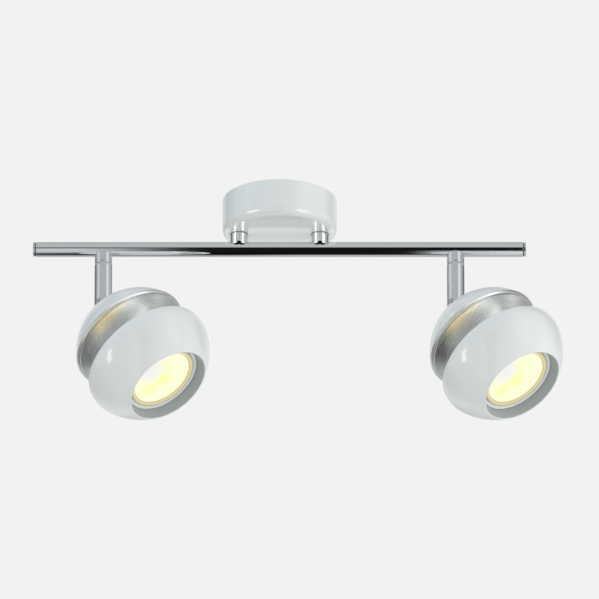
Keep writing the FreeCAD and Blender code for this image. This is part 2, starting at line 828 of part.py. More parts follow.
def make_holder_leads():
    """Two leads from the back of the lamp holder to the lead hole beside the lug."""
    start = holder_front - holder_length - seat_gap
    end = dome_height(lead_hole_offset)
    return Part.makeCompound([
        rod(lead_diameter / 2, end, start, -lead_hole_offset, side * lead_spacing / 2)
        for side in SIDES.values()])


def shell_circles():
    """Centres of the shoulder and face circles of the shell's outer skin."""
    shoulder = (rim_height + shell_widest, shell_radius - shell_shoulder_radius)
    offset = shell_face_radius - shell_shoulder_radius
    angle = math.radians(shell_join_angle)
    face = (shoulder[0] - offset * math.sin(angle), shoulder[1] - offset * math.cos(angle))
    return shoulder, face


def face_angle(radius, wall):
    """Angle on the face circle where the skin that lies wall inside it has a given radius."""
    face = shell_circles()[1]
    return math.degrees(math.acos((radius - face[1]) / (shell_face_radius - wall)))


def shoulder_angle(height, wall):
    """Angle on the shoulder circle where the skin that lies wall inside it has a given height."""
    shoulder = shell_circles()[0]
    return math.degrees(math.asin((height - shoulder[0]) / (shell_shoulder_radius - wall)))


def mouth_height():
    """Height of the shell's front edge."""
    face = shell_circles()[1]
    return on_circle(face, shell_face_radius, face_angle(mouth_radius + shell_lip_width, 0))[0]


def make_front_shell():
    shoulder, face = shell_circles()
    back = rim_height + shell_back
    seat_end = back - waist_land_show + waist_land_length + slip_gap
    lip = face_angle(mouth_radius + shell_lip_width, 0)
    inner_lip = face_angle(mouth_radius, shell_wall)
    inner_shoulder = shell_shoulder_radius - shell_wall
    inner_face = shell_face_radius - shell_wall
    inner_start = shoulder_angle(seat_end, shell_wall)
    start = shoulder_angle(back, 0)
    return turned(
        on_circle(shoulder, shell_shoulder_radius, start),
        arc_between(shoulder, shell_shoulder_radius, start, shell_join_angle),
        arc_between(face, shell_face_radius, shell_join_angle, lip),
        (mouth_height() + slip_gap, mouth_radius),
        on_circle(face, inner_face, inner_lip),
        arc_between(face, inner_face, inner_lip, shell_join_angle),
        arc_between(shoulder, inner_shoulder, shell_join_angle, inner_start),
        (seat_end, shell_seat_radius), (back, shell_seat_radius))


def make_inner_sleeve():
    outer = sleeve_radius
    front = mouth_height() - sleeve_inset
    flange_radius = outer + sleeve_flange_width
    face = shell_circles()[1]
    flange_angle = face_angle(flange_radius, shell_wall)
    flange_front = on_circle(face, shell_face_radius - shell_wall, flange_angle)[0] - slip_gap
    flange_back = flange_front - sleeve_flange_thickness
    step = ring_front + sleeve_ledge_proud
    bore = sleeve_bore_radius
    end = step - sleeve_tail_length
    return turned(
        (front, outer), (front, outer - sleeve_wall), (step, sleeve_ledge_radius),
        (step, bore), (end, bore), (end, bore + sleeve_wall),
        (step - sleeve_wall, bore + sleeve_wall), (step - sleeve_wall, outer),
        (flange_back, outer), (flange_back, flange_radius), (flange_front, flange_radius),
        (flange_front, outer))


def make_lamp_ring():
    outer = sleeve_bore_radius - slip_gap
    inner = ring_bore_radius
    front = ring_front
    back = front - ring_depth
    edge = ring_edge_radius
    corner_out = (front - edge, outer - edge)
    corner_in = (front - edge, inner + edge)
    return turned(
        (back, inner), (back, outer), (front - edge, outer),
        arc_between(corner_out, edge, 0, 90),
        on_circle(corner_in, edge, 90),
        arc_between(corner_in, edge, 90, 180))


# Lamp, drawn with the head

def make_lamp_glass():
    radius = lamp_diameter / 2
    front = lamp_front
    back = front - lamp_glass_thickness
    corner = (front - lamp_glass_edge, radius - lamp_glass_edge)
    return turned((back, 0), (back, radius), (front - lamp_glass_edge, radius),
                  arc_between(corner, lamp_glass_edge, 0, 90), (front, 0))


def make_lamp_body():
    front = lamp_front - lamp_glass_thickness
    rim_back = front - lamp_rim_depth
    radius = lamp_diameter / 2
    base = lamp_base_diameter / 2
    base_top = lamp_base + lamp_base_length
    waist = (lamp_base + lamp_waist_height, lamp_waist_diameter / 2)
    wall = lamp_wall
    return turned(
        (lamp_base, 0), (lamp_base, base), (base_top, base),
        (waist, (rim_back, radius)), (front, radius),
        (front, radius - wall), (rim_back, radius - wall),
        ((waist[0], waist[1] - wall), (base_top, base - wall)),
        (lamp_base + lamp_base_floor, base - wall), (lamp_base + lamp_base_floor, 0))


def make_lamp_pins():
    tip = lamp_base - pin_length
    head_top = tip + pin_head_height
    pins = []
    for side in SIDES.values():
        x = side * pin_pitch / 2
        pin = rod(pin_diameter / 2, head_top, lamp_base, x)
        pins.append(pin.fuse(rod(pin_head_diameter / 2, tip, head_top, x)).removeSplitter())
    return Part.makeCompound(pins)


# Assembly

def post_placement(side, yaw):
    turn = FreeCAD.Rotation(UP, yaw)
    return FreeCAD.Placement(point(side * post_spacing / 2, 0, pivot_z), turn)


def head_placement(side):
    """Turns the beam from straight up to its direction at rest, then yaws it with the arm."""
    tilt = FreeCAD.Placement(point(0, 0, 0), FreeCAD.Rotation(BACK, 90 + depression_at_rest))
    return post_placement(side, yaw_at_rest).multiply(tilt)


def placed(shape, placement):
    moved = shape.copy()
    moved.transformShape(placement.toMatrix(), True)
    return moved


def on_both_posts(shape):
    return Part.makeCompound([placed(shape, post_placement(side, 0)) for side in SIDES.values()])


def fixture_nodes():
    nodes = {
        "canopy": make_canopy(),
        "mounting_plate": make_mounting_plate(),
        "canopy_side_screws": make_side_screws(),
        "cable_grommet": make_grommet(),
        "terminal_block": make_terminal_block(),
        "terminal_screws": make_terminal_screws(),
        "earth_screw": make_earth_screw(),
        "stud_washers": make_stud_washers(),
        "stud_nuts": make_stud_nuts(),
        "bar_tube": make_bar_tube(),
        "supply_leads": make_supply_leads(),
        "friction_washers": on_both_posts(make_friction_washer()),
        "swivel_bolts": on_both_posts(make_swivel_bolt()),
        "spring_washers": on_both_posts(make_spring_washer()),
        "stop_pins": on_both_posts(make_stop_pin())}
    for name, side in SIDES.items():
        nodes[name + "_stud"] = make_stud(side)
        nodes[name + "_end_cap"] = make_end_cap(side)
        nodes[name + "_collar"] = placed(make_collar(), post_placement(side, 0))
    return nodes


ARM_PIECES = {
    "top_bush": make_top_bush,
    "post_tube": make_post_tube,
    "hinge_knuckle": make_knuckle,
    "hinge_screw": make_hinge_screw}

HEAD_PIECES = {
    "hinge_lug": make_hinge_lug,
    "lug_rivets": make_lug_rivets,
    "rear_dome": make_rear_dome,
    "waist": make_waist,
    "holder_bracket": make_bracket,
    "bracket_screws": make_bracket_screws,
    "lamp_holder": make_lamp_holder,
    "holder_screws": make_holder_screws,
    "holder_leads": make_holder_leads,
    "front_shell": make_front_shell,
    "inner_sleeve": make_inner_sleeve,
    "lamp_ring": make_lamp_ring,
    "lamp_body": make_lamp_body,
    "lamp_glass": make_lamp_glass,
    "lamp_pins": make_lamp_pins}


def arm_and_head_nodes():
    arm = {piece: make() for piece, make in ARM_PIECES.items()}
    head = {piece: make() for piece, make in HEAD_PIECES.items()}
    nodes = {}
    for name, side in SIDES.items():
        for piece, shape in arm.items():
            nodes[name + "_" + piece] = placed(shape, post_placement(side, yaw_at_rest))
        for piece, shape in head.items():
            nodes[name + "_" + piece] = placed(shape, head_placement(side))
    return nodes


def main():
    os.makedirs("parts", exist_ok=True)
    nodes = fixture_nodes()
    nodes.update(arm_and_head_nodes())
    for name, shape in nodes.items():
        shape.exportStep("parts/" + name + ".step")


main()
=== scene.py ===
import math
import bmesh
import bpy
import numpy as np
from mathutils import Matrix, Vector


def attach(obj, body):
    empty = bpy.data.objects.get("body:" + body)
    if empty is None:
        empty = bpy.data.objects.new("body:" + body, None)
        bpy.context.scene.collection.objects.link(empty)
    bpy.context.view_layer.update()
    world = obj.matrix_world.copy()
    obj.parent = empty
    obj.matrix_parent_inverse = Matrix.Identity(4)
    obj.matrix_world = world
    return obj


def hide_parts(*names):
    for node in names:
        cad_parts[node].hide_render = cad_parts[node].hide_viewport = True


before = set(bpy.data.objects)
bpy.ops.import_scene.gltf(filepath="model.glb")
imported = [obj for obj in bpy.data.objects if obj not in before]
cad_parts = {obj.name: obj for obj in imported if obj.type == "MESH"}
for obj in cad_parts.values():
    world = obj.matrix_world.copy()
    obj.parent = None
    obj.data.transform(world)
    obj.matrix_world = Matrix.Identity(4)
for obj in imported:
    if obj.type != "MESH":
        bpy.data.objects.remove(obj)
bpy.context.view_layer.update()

# Places that the pieces share with the model, in metres and degrees.
POST_SPACING = 0.246
PIVOT_Z = -0.0782
BAR_Z = -0.0361
BAR_RADIUS = 0.00525
STUD_X = 0.02825
STUD_JOINT_Z = -0.0255  # from here up a stud gets a painted shadow line where it meets the canopy
NOTCH_RISE = 0.0026  # centre of a stud's notch above the bar's axis
# Radius of the painted shade inside a stud's notch.
NOTCH_REACH = 0.00158
SKIN_GAP = 0.0001
YAW = -29.1
DEPRESSION = 54.1
SIDES = {"left": -1, "right": 1}

# Sizes of the turned outlines, in millimetres. Heights on a head are measured from its tilt
# pivot along the beam.
BAR_LENGTH = 345.0
BAR_SKIN = 5.25
BAR_BORE = 4.25
CAP_REACH = 2.2
CAP_NECK = 4.6
CAP_PLUG = 4.2
CAP_GROOVE = 0.7
CAP_SHOULDER = 1.7
CROWN_RADIUS = 27.81
PAINTED_SHADE_BAND = (4.3, 5.0)  # radii inside a cap's groove, which the chrome darkens with painted shade
POST_SKIN = 6.25
POST_BORE = 5.25
POST_FOOT = 4.2
POST_TOP = 42.1 - 11.5 - 1.3 - 0.1
RIM = 35.15  # front edge of the rear dome
SHELL_BACK = RIM + 22.7
SHELL_WALL = 1.5
SHOULDER_RADIUS = 19.3
FACE_RADIUS = 52.4
JOIN = 21.4  # degrees, where the shoulder's circle meets the face's
MOUTH_RADIUS = 29.6
LIP_WIDTH = 0.6
SEAT_RADIUS = 44.022
LAND_RADIUS = 43.922
SLEEVE_OUTER = 29.5
SLEEVE_BORE = 27.0
SLEEVE_WALL = 0.6
FLANGE_RADIUS = 31.4
RING_FRONT = RIM + 46.5
GLASS_BACK = RIM + 43.7
GLASS_FACE = RIM + 45.4
GLASS_RADIUS = 24.9

# Fineness of the meshes
HEAD_COLUMNS = 192
BAR_COLUMNS = 128
POST_COLUMNS = 96
FILLET_STEPS = 5
SHARP_EDGE = 32  # degrees


# Shader sums

class Value:
    """A node's output that can stand in a sum or a product with numbers and other outputs."""

    def __init__(self, finish, socket):
        self.finish = finish
        self.socket = socket

    def __add__(self, other):
        return self.finish.maths("ADD", self, other)

    def __radd__(self, other):
        return self.finish.maths("ADD", other, self)

    def __mul__(self, other):
        return self.finish.maths("MULTIPLY", self, other)

    def __rmul__(self, other):
        return self.finish.maths("MULTIPLY", other, self)

    def __truediv__(self, other):
        return self.finish.maths("DIVIDE", self, other)

    def __rtruediv__(self, other):
        return self.finish.maths("DIVIDE", other, self)


class Finish:
    """The node tree of one finish, and one way of adding any node to it."""

    def __init__(self, name, owner=None):
        self.owner = owner or bpy.data.materials.new(name)
        self.owner.use_nodes = True
        self.tree = self.owner.node_tree
        self.tree.nodes.clear()

    def node(self, kind, settings=None, inputs=None, output=0):
        """Adds a node, sets it, fills its inputs with values or links, and gives one output."""
        made = self.tree.nodes.new(kind)
        for key, value in (settings or {}).items():
            if key == "stops":
                stops = made.color_ramp.elements
                for index, (position, tone) in enumerate(value):
                    stop = stops[index] if index < 2 else stops.new(position)
                    stop.position = position
                    stop.color = tone
            else:
                setattr(made, key, value)
        for key, value in (inputs or {}).items():
            if isinstance(value, Value):
                self.tree.links.new(value.socket, made.inputs[key])
            else:
                made.inputs[key].default_value = value
        return Value(self, made.outputs[output]) if made.outputs else None

    def blend(self, factor, first, second):
        """Colour between two colours or outputs; 6, 7 and 2 are the node's colour sockets."""
        settings = {"data_type": "RGBA"}
        return self.node("ShaderNodeMix", settings, {0: factor, 6: first, 7: second}, 2)

    def ramp(self, value, *stops):
        """A value eased through (position, value) stops."""
        grey = [(position, (level, level, level, 1)) for position, level in stops]
        return self.node("ShaderNodeValToRGB", {"stops": grey}, {0: value})

    def place(self):
        return self.node("ShaderNodeTexCoord", None, None, "Object")

    def ray(self, kind):
        """1 where the surface is seen by that kind of ray."""
        return self.node("ShaderNodeLightPath", None, None, "Is " + kind + " Ray")

    def maths(self, operation, first, second):
        return self.node("ShaderNodeMath", {"operation": operation}, {0: first, 1: second})

    def noise(self, where, scale, detail=2.0, rough=0.5):
        values = {"Vector": where, "Scale": scale, "Detail": detail, "Roughness": rough}
        return self.node("ShaderNodeTexNoise", None, values, "Fac")

    def attribute(self, name, output="Vector"):
        return self.node("ShaderNodeAttribute", {"attribute_name": name}, None, output)

    def stretched(self, where, along):
        """A place with each of its axes scaled."""
        values = {0: where, 1: along}
        return self.node("ShaderNodeVectorMath", {"operation": "MULTIPLY"}, values)

    def reach(self, where, centre):
        """Distance of a place from a point."""
        values = {0: where, 1: centre}
        return self.node("ShaderNodeVectorMath", {"operation": "DISTANCE"}, values, "Value")

    def bump(self, height, distance, strength=1.0):
        values = {"Height": height, "Distance": distance, "Strength": strength}
        return self.node("ShaderNodeBump", None, values)

    def surface(self, **inputs):
        """The finish's shader; an input's name has underscores for spaces."""
        named = {key.replace("_", " "): value for key, value in inputs.items()}
        shader = self.node("ShaderNodeBsdfPrincipled", None, named)
        self.node("ShaderNodeOutputMaterial", None, {"Surface": shader})
        return self.owner


# Finishes

def colour(red, green, blue):
    return (red, green, blue, 1.0)


PALE = colour(0.888, 0.888, 0.888)  # floor and backdrop, as the camera sees them


def white_paint():
    """Cool white wet paint: a clear gloss over the faint ripple that a spray gun leaves."""
    f = Finish("white_paint")
    ripple = f.noise(f.place(), 420.0)
    cloud = f.noise(f.place(), 25.0)
    tone = f.blend(cloud, colour(0.765, 0.785, 0.79), colour(0.785, 0.80, 0.80))
    return f.surface(Base_Color=tone, Roughness=0.30 + 0.03 * cloud, Coat_Weight=1.0,
                     Coat_Roughness=0.09, Normal=f.bump(ripple, 0.00001, 0.5))


def chrome():
    """Bright plate with faint wiping marks. It is dark and rough with painted shade in the cap
    grooves that a point attribute marks, along a painted shadow line where a stud meets the
    canopy, and inside the half-round notch of a stud."""
    f = Finish("chrome")
    place = f.place()
    smear = f.noise(place, 60.0, 4.0)
    fine = f.noise(place, 900.0)
    height = f.node("ShaderNodeSeparateXYZ", None, {0: place}, 2)
    # Painted shadow: a dark line where each stud meets the canopy.
    joint_shadow = f.maths("GREATER_THAN", height, STUD_JOINT_Z)
    painted_shade = f.maths("MAXIMUM", f.attribute("painted_shade", "Fac"), joint_shadow)
    from_bar = f.reach(f.stretched(place, (0.0, 1.0, 1.0)), (0.0, 0.0, BAR_Z))
    off_bar = f.maths("GREATER_THAN", from_bar, BAR_RADIUS + SKIN_GAP)
    # Painted shade inside each stud's half-round notch, kept off the bar's surface.
    for side in SIDES.values():
        centre = (side * STUD_X, 0.0, BAR_Z + NOTCH_RISE)
        from_notch = f.reach(f.stretched(place, (1.0, 0.0, 1.0)), centre)
        notch_shade = f.maths("LESS_THAN", from_notch, NOTCH_REACH)
        painted_shade = f.maths("MAXIMUM", painted_shade, notch_shade * off_bar)
    # Painted shade and painted shadow: grooves, the stud joint line and the notches take the dark
    # colour.
    tone = f.blend(painted_shade, colour(0.86, 0.88, 0.89), colour(0.05, 0.055, 0.06))
    return f.surface(Base_Color=tone, Metallic=1.0, Roughness=0.035 + 0.03 * smear + 0.4 * painted_shade,
                     Normal=f.bump(fine, 0.000002, 0.3))


def satin_chrome():
    """Plate over a lightly buffed tube."""
    f = Finish("satin_chrome")
    smear = f.noise(f.place(), 90.0, 3.0)
    return f.surface(Base_Color=colour(0.80, 0.825, 0.83), Metallic=1.0,
                     Roughness=0.15 + 0.03 * smear)


def turned_aluminium():
    """Lathe-turned metal: the tool's rings, as noise that changes slowly round the piece and
    quickly along its outline, broad and fine together."""
    f = Finish("turned_aluminium")
    turning = f.attribute("turning")
    broad = f.noise(f.stretched(turning, (1.1, 1.1, 0.9)), 1.0)
    fine = f.noise(f.stretched(turning, (2.2, 2.2, 3.2)), 1.0, 3.0, 0.7)
    rings = 0.5 * broad + 0.5 * fine
    bright = f.ramp(rings, (0.36, 0.0), (0.62, 1.0))
    tone = f.blend(bright, colour(0.68, 0.69, 0.675), colour(0.82, 0.83, 0.815))
    return f.surface(Base_Color=tone, Metallic=1.0, Roughness=0.20 + 0.14 * fine,
                     Normal=f.bump(rings, 0.0002, 0.8))


def grey_sleeve():
    """Matt grey moulding with a fine grain."""
    f = Finish("grey_sleeve")
    grain = f.noise(f.place(), 900.0)
    tone = f.blend(grain, colour(0.355, 0.385, 0.415), colour(0.38, 0.41, 0.44))
    return f.surface(Base_Color=tone, Roughness=0.42 + 0.12 * grain,
                     Normal=f.bump(grain, 0.00001, 0.5))


def bright_ring():
    """Pale spring ring, lightly tumbled."""
    f = Finish("bright_ring")
    grain = f.noise(f.place(), 500.0)
    tone = f.blend(grain, colour(0.84, 0.85, 0.83), colour(0.89, 0.90, 0.88))
    return f.surface(Base_Color=tone, Metallic=0.15, Roughness=0.32 + 0.1 * grain)


def zinc_steel():
    """Zinc plate with the bloom of its crystals."""
    f = Finish("zinc_steel")
    bloom = f.noise(f.place(), 260.0, 4.0)
    tone = f.blend(bloom, colour(0.58, 0.60, 0.62), colour(0.68, 0.68, 0.66))
    return f.surface(Base_Color=tone, Metallic=1.0, Roughness=0.3 + 0.2 * bloom)


def brass_parts():
    """Brass that has dulled in patches."""
    f = Finish("brass_parts")
    dull = f.noise(f.place(), 300.0, 3.0)
    tone = f.blend(dull, colour(0.72, 0.56, 0.28), colour(0.80, 0.66, 0.38))
    return f.surface(Base_Color=tone, Metallic=1.0, Roughness=0.22 + 0.2 * dull)


def plain(name, tone, shine):
    """Moulded or drawn stuff with a fine grain in its tone and its shine."""
    f = Finish(name)
    grain = f.noise(f.place(), 700.0, 3.0)
    darker = colour(*(channel * 0.94 for channel in tone[:3]))
    return f.surface(Base_Color=f.blend(grain, darker, tone), Roughness=shine + 0.12 * grain,
                     Normal=f.bump(grain, 0.00002, 0.5))


def lamp_glass():
    """Lit frosted front in its own place in millimetres: pale yellow with yellower patches where
    the light sources sit, a painted paler reflection to one side, and a golden rim that is a
    painted reflection, with a dark outer edge."""
    f = Finish("lamp_glass")
    own = f.attribute("own")
    rim_share = f.reach(f.stretched(own, (1.0, 1.0, 0.0)), (0.0, 0.0, 0.0)) / 25.0
    drift = f.noise(f.stretched(own, (0.12, 0.12, 0.0)), 1.0, 1.0)
    patch = 0.0
    for x, y, full, strength in ((0.7, 2.3, 0.35, 1.0), (-7.0, -4.0, 0.30, 0.4),
                                 (12.0, -1.0, 0.30, 1.0)):
        away = f.reach(own, (x, y, GLASS_FACE)) / 12.0 + drift * 0.5
        patch = f.maths("MAXIMUM", patch, f.ramp(away, (full, strength), (0.95, 0.0)))
    # Painted reflection: a paler, greyer patch on one side of the lit glass.
    pale = f.ramp(f.reach(own, (1.0, -13.5, GLASS_FACE)) / 14.0, (0.30, 1.0), (0.85, 0.0))
    glow = f.blend(patch, colour(0.95, 0.965, 0.68), colour(0.94, 0.965, 0.35))
    glow = f.blend(pale, glow, colour(0.885, 0.87, 0.86))
    rim = f.ramp(rim_share, (0.862, 0.0), (0.882, 1.0))
    lines = f.ramp(rim_share, (0.87, 0.0), (0.882, 1.0), (0.90, 0.0), (0.95, 0.0),
                   (0.965, 1.0), (0.975, 0.0))
    edge = f.ramp(rim_share, (0.97, 0.0), (0.98, 1.0))
    # Painted reflection: the gold lines round the rim; the outer edge is dark.
    rim_reflection = f.blend(lines, colour(0.70, 0.65, 0.36), colour(0.60, 0.38, 0.12))
    rim_reflection = f.blend(edge, rim_reflection, colour(0.36, 0.36, 0.325))
    return f.surface(Base_Color=colour(0.03, 0.03, 0.03), Roughness=0.3,
                     Emission_Color=f.blend(rim, glow, rim_reflection), Emission_Strength=0.97)


FINISHES = {
    "white_paint": white_paint(),
    "chrome": chrome(),
    "satin_chrome": satin_chrome(),
    "turned_aluminium": turned_aluminium(),
    "grey_sleeve": grey_sleeve(),
    "bright_ring": bright_ring(),
    "zinc_steel": zinc_steel(),
    "brass_parts": brass_parts(),
    "grommet_rubber": plain("grommet_rubber", colour(0.03, 0.03, 0.03), 0.6),
    "terminal_plastic": plain("terminal_plastic", colour(0.80, 0.79, 0.74), 0.35),
    "lead_insulation": plain("lead_insulation", colour(0.24, 0.07, 0.03), 0.45),
    "washer_nylon": plain("washer_nylon", colour(0.50, 0.51, 0.515), 0.4),
    "lamp_ceramic": plain("lamp_ceramic", colour(0.78, 0.75, 0.68), 0.5),
    "lamp_plastic": plain("lamp_plastic", colour(0.74, 0.74, 0.72), 0.4),
    "lamp_glass": lamp_glass()}

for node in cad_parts.values():
    slot = node.data.materials[0].name.split(".")[0]
    node.data.materials.clear()
    node.data.materials.append(FINISHES[slot])


# Surfaces

def put(name, data):
    """New object in the scene for a mesh, a light or a camera."""
    made = bpy.data.objects.new(name, data)
    bpy.context.scene.collection.objects.link(made)
    return made


def on_points(mesh, name, kind, field, values):
    """Keeps one value for each point of a mesh."""
    data = mesh.attributes.new(name, kind, "POINT").data
    data.foreach_set(field, values.astype(np.float32).ravel())


def quads_between(here, above):
    """Faces between rows of point numbers; each row closes on itself."""
    corners = [here, np.roll(here, -1, 1), np.roll(above, -1, 1), above]
    return np.stack(corners, -1).reshape(-1, 4)


def skin(name, body, finish, grid, closed, own, painted_shade):
    """Piece over a grid of points. Columns close on themselves, and rows too where closed is
    set; otherwise the first and last rows are poles. Faces are wound to enclose a positive
    volume. The attribute "turning" holds each point's place round and along the outline, "own" its
    place in the piece in millimetres, and a third attribute is 1 in the rows of a groove that
    gets painted shade."""
    rows, columns = grid.shape[:2]
    numbers = np.arange(rows * columns).reshape(rows, columns)
    if closed:
        quads = quads_between(numbers, np.roll(numbers, -1, 0))
    else:
        quads = quads_between(numbers[:-1], numbers[1:])
    points = grid.reshape(-1, 3)
    a, b, c, d = (points[quads[:, i]] for i in range(4))
    if np.einsum("ij,ij->", a, np.cross(b, c) + np.cross(c, d)) < 0:
        quads = quads[:, ::-1]
    mesh = bpy.data.meshes.new(name)
    mesh.from_pydata(points, [], quads)
    step = np.linalg.norm(np.diff(grid[:, 0], axis=0), axis=1)
    along = np.concatenate([[0.0], np.cumsum(step)]) * 1000.0
    angle = np.arange(columns) * 2 * np.pi / columns
    turning = np.empty((rows, columns, 3), np.float32)
    turning[..., 0] = np.cos(angle)
    turning[..., 1] = np.sin(angle)
    turning[..., 2] = along[:, None]
    on_points(mesh, "turning", "FLOAT_VECTOR", "vector", turning)
    on_points(mesh, "own", "FLOAT_VECTOR", "vector", own * 1000.0)
    # The rows of a groove are marked for painted shade in the chrome.
    on_points(mesh, "painted_shade", "FLOAT", "value", np.repeat(painted_shade, columns))
    mesh.polygons.foreach_set("use_smooth", np.ones(len(quads), bool))
    mesh.set_sharp_from_angle(angle=math.radians(SHARP_EDGE))
    shape = bmesh.new()
    shape.from_mesh(mesh)
    bmesh.ops.remove_doubles(shape, verts=shape.verts, dist=1e-7)
    shape.to_mesh(mesh)
    shape.free()
    mesh.materials.append(FINISHES[finish])
    piece = put(name, mesh)
    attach(piece, body)
    return piece


def outline(*corners):
    """Rounds the corners (height, radius, fillet) of a closed outline. A fillet is the arc that
    touches both of its sides: centre + fillet * (side * sin t - normal * cos t), for t from 0 to
    the corner's turn, with a point on each side next to it that keeps the flats' shading flat.
    An item may also be an array of such rows."""
    c = np.vstack([np.atleast_2d(np.asarray(item, float)) for item in corners])
    into = c[:, :2] - np.roll(c[:, :2], 1, 0)
    out = np.roll(c[:, :2], -1, 0) - c[:, :2]
    into /= np.maximum(np.linalg.norm(into, axis=1), 1e-12)[:, None]
    out /= np.maximum(np.linalg.norm(out, axis=1), 1e-12)[:, None]
    turn = np.arctan2(into[:, 0] * out[:, 1] - into[:, 1] * out[:, 0], (into * out).sum(1))
    fillet = c[:, 2]
    start = c[:, :2] - into * (fillet * np.tan(np.abs(turn) / 2))[:, None]
    normal = np.sign(turn)[:, None] * np.column_stack([-into[:, 1], into[:, 0]])
    theta = np.abs(turn)[:, None] * np.linspace(0, 1, FILLET_STEPS + 1)
    bend = (start + normal * fillet[:, None])[:, None] + fillet[:, None, None] * (
        np.sin(theta)[..., None] * into[:, None] - np.cos(theta)[..., None] * normal[:, None])
    hold = 0.4 * fillet[:, None, None]
    before = bend[:, :1] - hold * into[:, None]
    after = bend[:, -1:] + hold * out[:, None]
    points = np.concatenate([before, bend, after], 1).reshape(-1, 2)
    kept = np.linalg.norm(points - np.roll(points, 1, 0), axis=1) > 1e-6
    return points[kept]


def arc(centre, radius, start, end, steps):
    """Outline rows (height, radius, 0) on a circle, from start to end in degrees."""
    angle = np.radians(np.linspace(start, end, steps))
    rows = [centre[0] + radius * np.sin(angle), centre[1] + radius * np.cos(angle), 0 * angle]
    return np.column_stack(rows)


SHOWN = {}  # the piece that is seen in each replaced node's place


def turned(name, node, body, finish, shape, place, columns=HEAD_COLUMNS, groove=(0, 0)):
    """Piece that stands for a node, turned from an outline in millimetres: the point at angle a is
    (radius cos a, radius sin a, height), carried to its place. An outline that starts and ends
    on the axis makes a piece with poles; any other closes on itself. Rows whose radius lies inside
    groove are marked for painted shade."""
    height, radius = shape.T / 1000.0
    angle = np.arange(columns) * 2 * np.pi / columns
    local = np.stack([radius[:, None] * np.cos(angle), radius[:, None] * np.sin(angle),
                      np.broadcast_to(height[:, None], (len(height), columns))], -1)
    matrix = np.array(place)
    grid = local @ matrix[:3, :3].T + matrix[:3, 3]
    # Rows inside the groove band get painted shade.
    painted_shade = (shape[:, 1] > groove[0]) & (shape[:, 1] < groove[1])
    piece = skin(name, body, finish, grid, shape[:, 1].min() > 1e-9, local, painted_shade)
    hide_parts(node)
    SHOWN[node] = piece


def turn_about(axis, degrees):
    return Matrix.Rotation(math.radians(degrees), 4, axis)


def post_place(side):
    """Tilt pivot of one arm, turned by the arm's yaw."""
    return Matrix.Translation((side * POST_SPACING / 2, 0, PIVOT_Z)) @ turn_about("Z", YAW)


def head_place(side):
    """The same pivot with Z along the beam."""
    return post_place(side) @ turn_about("Y", 90 + DEPRESSION)


def bar_place(x, side=1):
    """A point of the bar's axis with Z along the bar, outwards."""
    return Matrix.Translation((x / 1000.0, 0, BAR_Z)) @ turn_about("Y", 90 * side)


# Bar and posts

def bar_and_caps():
    """Bright tube, and in each end a crowned cap past a groove darkened with painted shade."""
    length = BAR_LENGTH - 2 * CAP_REACH
    tube = outline((0, BAR_BORE, 0.15), (0, BAR_SKIN, 0.2),
                   (length, BAR_SKIN, 0.2), (length, BAR_BORE, 0.15))
    turned("bar_tube_shine", "bar_tube", "fixture", "chrome", tube, bar_place(-length / 2),
           BAR_COLUMNS)
    crown = arc((CAP_REACH - CROWN_RADIUS, 0), CROWN_RADIUS, 79.5, 90, 8)[1:]
    cap = outline(
        (-8, 0, 0), (-8, CAP_PLUG, 0.4), (0, CAP_PLUG, 0), (0, CAP_NECK, 0),
        (CAP_GROOVE, CAP_NECK, 0), (CAP_GROOVE, BAR_SKIN, 0.15), (CAP_SHOULDER, BAR_SKIN, 0.25),
        crown)
    for name, side in SIDES.items():
        turned(name + "_cap_shine", name + "_end_cap", "fixture", "chrome", cap,
               bar_place(side * length / 2, side), POST_COLUMNS, PAINTED_SHADE_BAND)


def posts():
    """Plain tube from the knuckle's skirt up to the friction washer."""
    tube = outline((POST_FOOT, POST_BORE, 0.1), (POST_FOOT, POST_SKIN, 0.15),
                   (POST_TOP, POST_SKIN, 0.2), (POST_TOP, POST_BORE, 0.1))
    for name, side in SIDES.items():
        turned(name + "_post_shine", name + "_post_tube", name + "_arm", "satin_chrome", tube,
               post_place(side), POST_COLUMNS)


# Heads

SHOULDER = (RIM + 26.5, 26.8)
CENTRES_APART = FACE_RADIUS - SHOULDER_RADIUS
FACE = (SHOULDER[0] - CENTRES_APART * math.sin(math.radians(JOIN)),
        SHOULDER[1] - CENTRES_APART * math.cos(math.radians(JOIN)))
LIP_ANGLE = math.degrees(math.acos((MOUTH_RADIUS + LIP_WIDTH - FACE[1]) / FACE_RADIUS))
MOUTH_FRONT = FACE[0] + FACE_RADIUS * math.sin(math.radians(LIP_ANGLE))


def waist_outline():
    """Spool of two cones: the dome's seat, a round lip, the groove down to the neck, and up to
    the shell's seat, with the hollow inside."""
    return outline(
        (RIM - 4, 30, 0.2), (RIM - 4, 38.7, 0.3), (RIM + 0.1, 38.7, 0.05),
        (RIM + 0.1, 41.8, 0.2), (RIM + 2.7, 41.8, 1.1), (RIM + 2.7, 40.0, 0.4),
        (RIM + 13.3, 25.9, 2.0), (RIM + 21.9, LAND_RADIUS, 0.3),
        (RIM + 25.5, LAND_RADIUS, 0.2), (RIM + 25.5, LAND_RADIUS - 2.4, 0.2),
        (RIM + 17.4, 24.6, 1.0), (RIM + 9.2, 24.6, 1.0), (RIM + 2, 30, 0.3))


